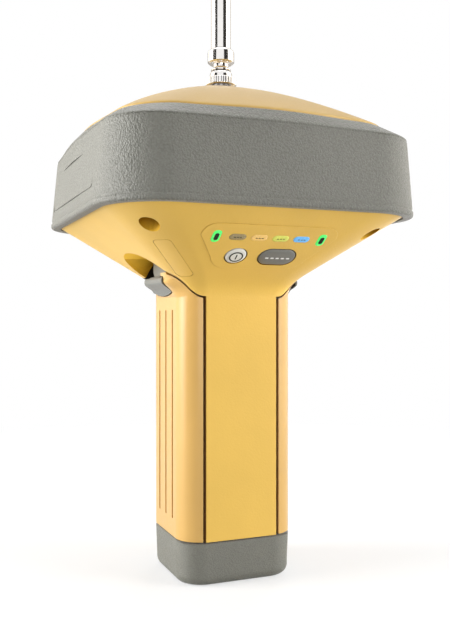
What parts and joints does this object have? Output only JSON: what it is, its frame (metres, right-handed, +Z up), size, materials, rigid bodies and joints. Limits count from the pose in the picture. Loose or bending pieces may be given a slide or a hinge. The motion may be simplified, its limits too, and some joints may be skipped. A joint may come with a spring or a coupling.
{
  "type": "gnss receiver",
  "caption": "Satellite positioning receiver with a square domed antenna head, rubber bumper, pole-mount handle with slide-out battery packs, keypad panel and a whip antenna.",
  "frame": {"origin": "bottom centre of the rubber base, on the axis of the pole thread", "axes": "+Z up along the pole axis, -Y out of the front face with the keypad, +X to the right when facing the keypad"},
  "size_m": [0.158, 0.158, 0.3997],
  "materials": {
    "housing_yellow": "satin moulded, fine grain",
    "battery_yellow": "semi-gloss moulded",
    "bumper_rubber": "leather-grained elastomer",
    "latch_grey": "smooth satin",
    "dark_plastic": "fine texture",
    "steel": "machined",
    "chrome": "polished plating",
    "brass": "gold flash",
    "board": "solder mask",
    "element": "fired ceramic",
    "shield": "tinned sheet",
    "key_light": "silicone satin",
    "key_dark": "silicone satin",
    "lamp_green": "clear lens, lit",
    "lamp_brown": "tinted lens",
    "lamp_tan": "tinted lens",
    "lamp_lime": "tinted lens, lit",
    "lamp_blue": "tinted lens, lit"
  },
  "bodies": {
    "housing": {"main_housing": "housing_yellow", "bumper_ring": "bumper_rubber", "radome": "housing_yellow", "base_cap": "bumper_rubber", "pole_insert": "steel", "left_contact_block": "dark_plastic", "right_contact_block": "dark_plastic", "control_panel": "housing_yellow", "keypad_board": "board", "left_battery_lamp": "lamp_green", "right_battery_lamp": "lamp_green", "status_lamp_1": "lamp_brown", "status_lamp_2": "lamp_tan", "status_lamp_3": "lamp_lime", "status_lamp_4": "lamp_blue", "housing_screw_1": "steel", "housing_screw_2": "steel", "housing_screw_3": "steel", "housing_screw_4": "steel", "radio_window": "battery_yellow", "power_port": "steel", "serial_port": "steel", "usb_port": "dark_plastic", "main_board": "board", "gnss_module": "shield", "radio_module": "shield", "ground_plane": "board", "amplifier_shield": "shield", "lower_element": "element", "upper_element": "element", "feed_post": "brass", "antenna_jack": "steel", "antenna_base": "chrome", "antenna_tube": "chrome", "antenna_tip": "dark_plastic"},
    "left_battery": {"left_battery_cover": "battery_yellow", "left_battery_core": "dark_plastic", "left_battery_terminals": "brass", "left_latch_pin": "steel"},
    "right_battery": {"right_battery_cover": "battery_yellow", "right_battery_core": "dark_plastic", "right_battery_terminals": "brass", "right_latch_pin": "steel"},
    "left_latch_lever": {"left_latch": "latch_grey"},
    "right_latch_lever": {"right_latch": "latch_grey"},
    "power_key": {"power_button": "key_light"},
    "function_key": {"function_button": "key_dark"},
    "coupling_nut": {"antenna_nut": "chrome"}
  },
  "joints": [
    {"name": "left_battery_slide", "type": "slide", "parent": "housing", "child": "left_battery", "axis": [-1, 0, 0], "range_m": [0, 0.08]},
    {"name": "right_battery_slide", "type": "slide", "parent": "housing", "child": "right_battery", "axis": [1, 0, 0], "range_m": [0, 0.08]},
    {"name": "left_latch_hinge", "type": "hinge", "parent": "left_battery", "child": "left_latch_lever", "pos_m": [-0.031, 0, 0.1442], "axis": [0, -1, 0], "range_deg": [0, 8], "stiffness_Nm_per_rad": 0.05, "springref_deg": -5.73},
    {"name": "right_latch_hinge", "type": "hinge", "parent": "right_battery", "child": "right_latch_lever", "pos_m": [0.031, 0, 0.1442], "axis": [0, 1, 0], "range_deg": [0, 8], "stiffness_Nm_per_rad": 0.05, "springref_deg": -5.73},
    {"name": "power_button_press", "type": "slide", "parent": "housing", "child": "power_key", "axis": [0, 0.5812, 0.8137], "range_m": [0, 0.0008], "stiffness_N_per_m": 1500, "springref_m": -0.0006},
    {"name": "function_button_press", "type": "slide", "parent": "housing", "child": "function_key", "axis": [0, 0.5812, 0.8137], "range_m": [0, 0.0008], "stiffness_N_per_m": 1500, "springref_m": -0.0006},
    {"name": "antenna_nut_turn", "type": "hinge", "parent": "housing", "child": "coupling_nut", "pos_m": [0, 0, 0.25], "axis": [0, 0, 1], "continuous": true}
  ]
}
